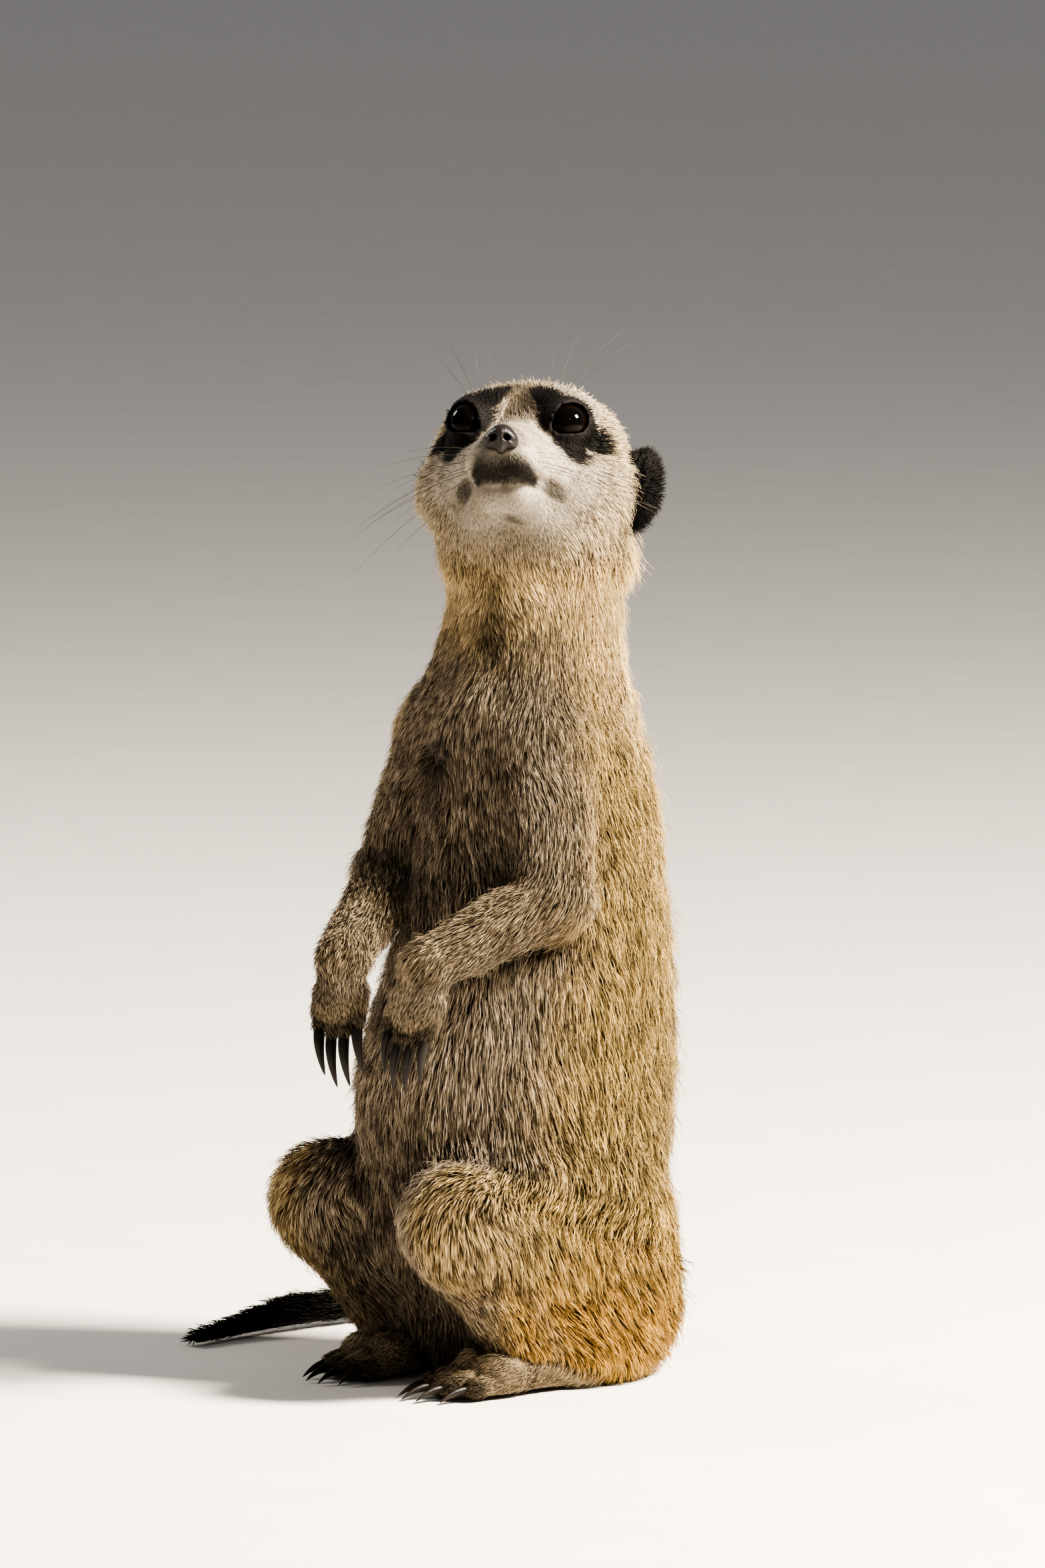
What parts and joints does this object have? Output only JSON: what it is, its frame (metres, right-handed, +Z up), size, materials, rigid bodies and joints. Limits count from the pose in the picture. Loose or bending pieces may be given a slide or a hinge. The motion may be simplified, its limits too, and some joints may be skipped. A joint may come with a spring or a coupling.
{
  "type": "meerkat",
  "caption": "Life-size still model of a meerkat sitting upright, head raised and turned, hands hanging, tail curled round on the floor.",
  "frame": {"origin": "on the floor, in the flat under the rump that the animal sits on", "axes": "+Z up; -Y is forward from the pelvis; +X is the animal's left"},
  "size_m": [0.1465, 0.1473, 0.2613],
  "materials": {
    "coat": "grizzled fur, golden tips over a dark brown ground, cream on the head",
    "dark_coat": "short black-brown fur",
    "nose": "moist, finely pebbled",
    "eye": "wet, dark brown",
    "claw": "smooth horn"
  },
  "bodies": {
    "root": {"head": "coat", "muzzle": "coat", "neck": "coat", "chest": "coat", "belly": "coat", "rump": "coat", "nose": "nose", "ear_left": "dark_coat", "eye_left": "eye", "upper_arm_left": "coat", "forearm_left": "coat", "hand_left": "coat", "thigh_left": "coat", "shank_left": "coat", "foot_left": "coat", "claw_hand_left_1": "claw", "claw_hand_left_2": "claw", "claw_hand_left_3": "claw", "claw_hand_left_4": "claw", "claw_foot_left_1": "claw", "claw_foot_left_2": "claw", "claw_foot_left_3": "claw", "claw_foot_left_4": "claw", "ear_right": "dark_coat", "eye_right": "eye", "upper_arm_right": "coat", "forearm_right": "coat", "hand_right": "coat", "thigh_right": "coat", "shank_right": "coat", "foot_right": "coat", "claw_hand_right_1": "claw", "claw_hand_right_2": "claw", "claw_hand_right_3": "claw", "claw_hand_right_4": "claw", "claw_foot_right_1": "claw", "claw_foot_right_2": "claw", "claw_foot_right_3": "claw", "claw_foot_right_4": "claw", "tail_base": "coat", "tail_middle": "coat", "tail_tip": "dark_coat"}
  },
  "joints": []
}
